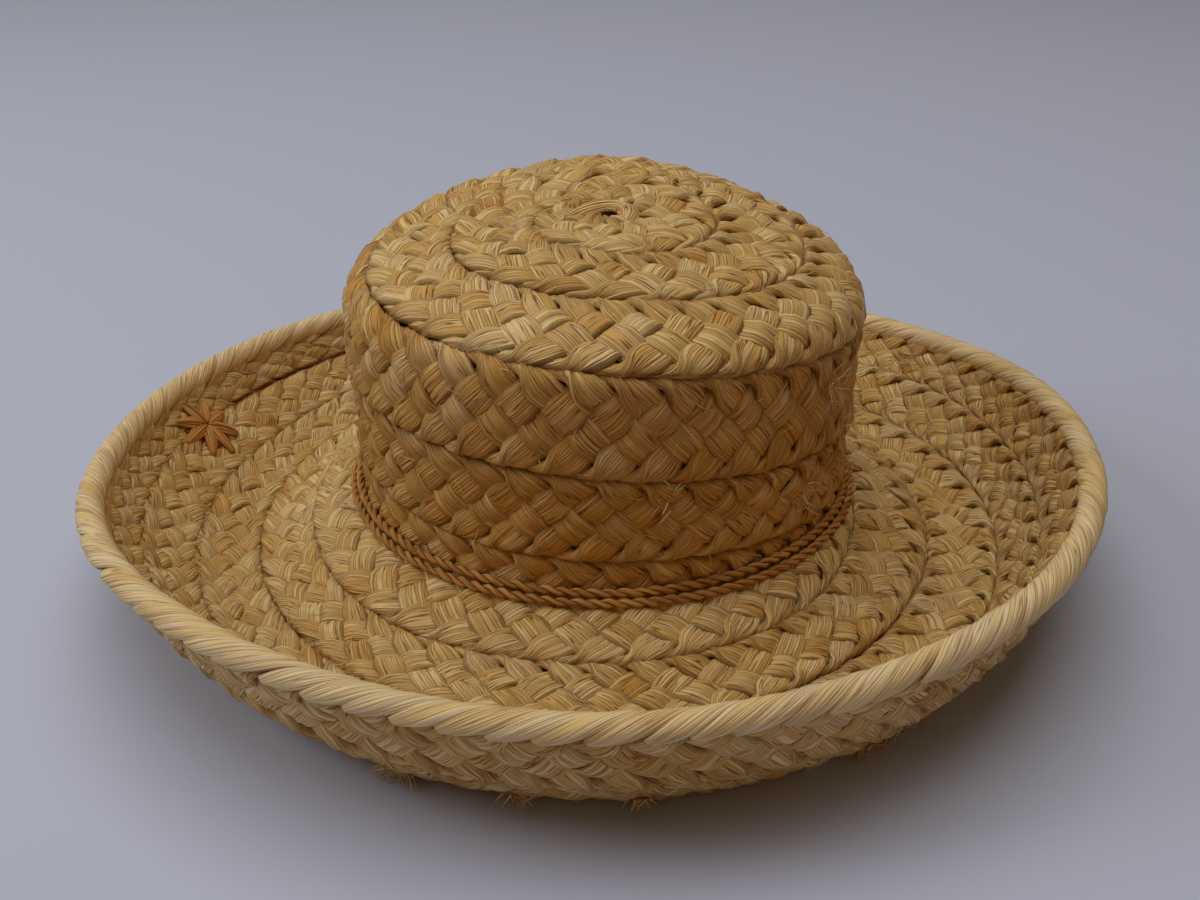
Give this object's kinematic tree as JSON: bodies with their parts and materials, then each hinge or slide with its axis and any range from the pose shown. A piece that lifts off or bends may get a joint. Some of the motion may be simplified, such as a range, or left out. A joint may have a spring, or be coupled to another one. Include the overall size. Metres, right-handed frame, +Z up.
{
  "type": "raffia sun hat",
  "caption": "Sun hat of plaited raffia sewn in a spiral, with a low round crown, twisted cords at its foot and an upturned brim with a rolled rim.",
  "frame": {"origin": "centre of the hat's footprint, on the surface that it rests on", "axes": "+Z up through the crown, -Y towards the front of the hat as pictured, +X to its right in the picture"},
  "size_m": [0.375, 0.3858, 0.1303],
  "materials": {
    "raffia_plait": "natural raffia, plaited and sewn",
    "raffia_rim": "natural raffia, rolled edge",
    "raffia_cord": "brown raffia, two-ply twisted cord",
    "raffia_stitch": "golden brown raffia stitches"
  },
  "bodies": {
    "root": {"crown_tip": "raffia_plait", "crown_side": "raffia_plait", "brim": "raffia_plait", "rim_roll": "raffia_rim", "cord_upper": "raffia_cord", "cord_lower": "raffia_cord", "star_stitch": "raffia_stitch"}
  },
  "joints": []
}
